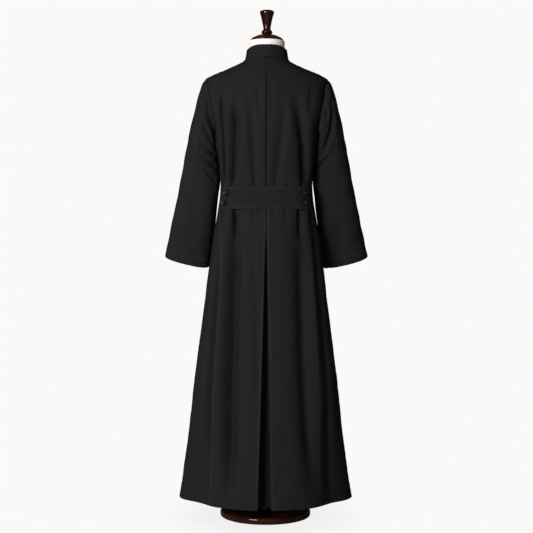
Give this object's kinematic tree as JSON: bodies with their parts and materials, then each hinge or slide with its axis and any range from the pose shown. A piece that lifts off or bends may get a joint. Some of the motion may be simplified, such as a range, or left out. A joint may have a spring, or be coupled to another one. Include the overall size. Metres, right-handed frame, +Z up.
{
  "type": "cassock on a dress form",
  "caption": "Full-length black cassock with stand collar, wide sleeves, buttoned half belt and pleated back skirt, on a limbless dress form with a round wooden base.",
  "frame": {"origin": "centre of the round base's underside, on the floor", "axes": "+Z up, the garment's front faces -Y, +X is the wearer's left"},
  "size_m": [0.66, 0.3982, 1.6102],
  "materials": {
    "black_cloth": "matt black fine twill with a faint sheen",
    "dark_button": "dark four-hole buttons with a soft gloss",
    "ivory_cover": "ivory jersey stretched over the form",
    "dark_wood": "turned, stained dark red-brown and varnished",
    "pole_steel": "plain steel tube"
  },
  "bodies": {
    "root": {"back_left": "black_cloth", "back_right": "black_cloth", "pleat_underlay": "black_cloth", "side_left": "black_cloth", "side_right": "black_cloth", "front_left": "black_cloth", "front_right": "black_cloth", "sleeve_left": "black_cloth", "sleeve_right": "black_cloth", "collar": "black_cloth", "belt": "black_cloth", "belt_button_left_upper": "dark_button", "belt_button_left_lower": "dark_button", "belt_button_right_upper": "dark_button", "belt_button_right_lower": "dark_button", "front_button_01": "dark_button", "front_button_02": "dark_button", "front_button_03": "dark_button", "front_button_04": "dark_button", "front_button_05": "dark_button", "front_button_06": "dark_button", "front_button_07": "dark_button", "front_button_08": "dark_button", "front_button_09": "dark_button", "front_button_10": "dark_button", "front_button_11": "dark_button", "front_button_12": "dark_button", "front_button_13": "dark_button", "front_button_14": "dark_button", "front_button_15": "dark_button", "front_button_16": "dark_button", "form_torso": "ivory_cover", "form_cap": "dark_wood", "form_finial": "dark_wood", "form_base": "dark_wood", "form_pole": "pole_steel"}
  },
  "joints": []
}
